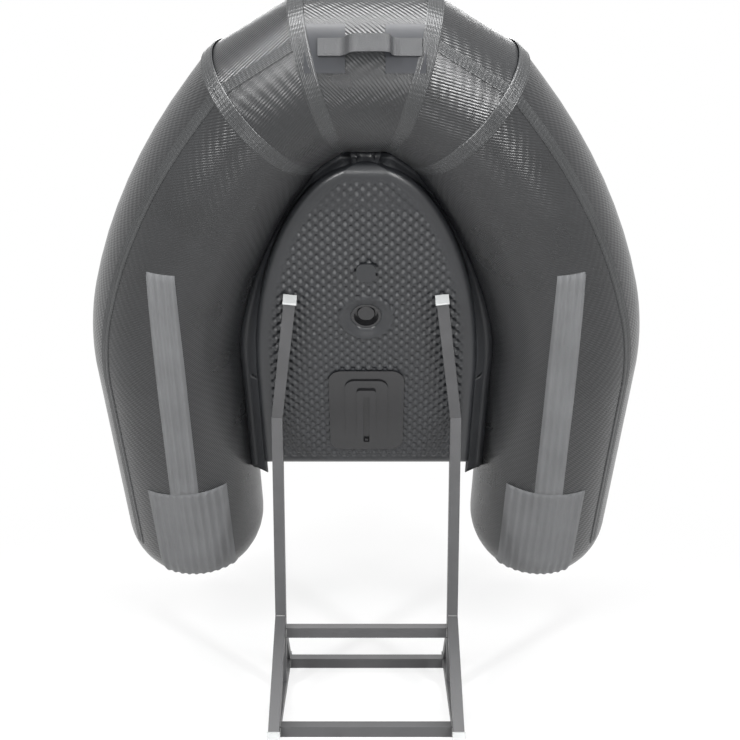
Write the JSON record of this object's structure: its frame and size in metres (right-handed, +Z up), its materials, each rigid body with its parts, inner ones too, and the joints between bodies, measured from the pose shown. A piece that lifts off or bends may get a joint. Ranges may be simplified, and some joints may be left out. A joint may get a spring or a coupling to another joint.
{
  "type": "float tube on a floor stand",
  "caption": "U-shaped inflatable float tube with floor panel, wear strakes and seat, stood bow up on a square-tube floor stand.",
  "frame": {"origin": "on the floor, under the middle of the whole object's box", "axes": "+Z up, +X across, -Y the side that the hull's underside faces"},
  "size_m": [1.2636, 0.9693, 1.5978],
  "materials": {
    "hull_fabric": "satin embossed coated fabric",
    "floor_fabric": "satin dimpled coated fabric",
    "strake_rubber": "matte ribbed rubber",
    "moulded_plastic": "glossy moulded black",
    "webbing": "woven webbing",
    "seat_fabric": "woven",
    "ring_steel": "bright",
    "stand_paint": "dark grey powder coat",
    "cap_plastic": "light grey"
  },
  "bodies": {
    "root": {"arm_cap_left": "cap_plastic", "arm_cap_right": "cap_plastic", "bow_handle": "webbing", "bow_handle_patch_left": "hull_fabric", "bow_handle_patch_right": "hull_fabric", "bow_quarter_tube_left": "hull_fabric", "bow_quarter_tube_right": "hull_fabric", "bow_tube": "hull_fabric", "d_rings_left": "ring_steel", "d_rings_right": "ring_steel", "drain_plug": "moulded_plastic", "drain_scupper": "moulded_plastic", "fin_box": "moulded_plastic", "fin_box_patch": "floor_fabric", "floor_boss": "floor_fabric", "floor_flange_left": "floor_fabric", "floor_flange_right": "floor_fabric", "floor_panel": "floor_fabric", "floor_valve": "moulded_plastic", "foot_rail_left": "stand_paint", "foot_rail_right": "stand_paint", "front_brace_left": "stand_paint", "front_brace_right": "stand_paint", "front_crossbar": "stand_paint", "inflation_valve_left": "moulded_plastic", "inflation_valve_right": "moulded_plastic", "middle_crossbar": "stand_paint", "rail_caps_left": "cap_plastic", "rail_caps_right": "cap_plastic", "rear_brace_left": "stand_paint", "rear_brace_right": "stand_paint", "rear_crossbar": "stand_paint", "rod_holder_left": "moulded_plastic", "rod_holder_right": "moulded_plastic", "seat_backrest": "seat_fabric", "seat_cushion": "seat_fabric", "side_handle_left": "webbing", "side_handle_right": "webbing", "side_tube_left": "hull_fabric", "side_tube_right": "hull_fabric", "stand_upright_left": "stand_paint", "stand_upright_right": "stand_paint", "tail_cone_left": "hull_fabric", "tail_cone_right": "hull_fabric", "tail_wear_pad_left": "strake_rubber", "tail_wear_pad_right": "strake_rubber", "wear_strake_left": "strake_rubber", "wear_strake_right": "strake_rubber"}
  },
  "joints": []
}
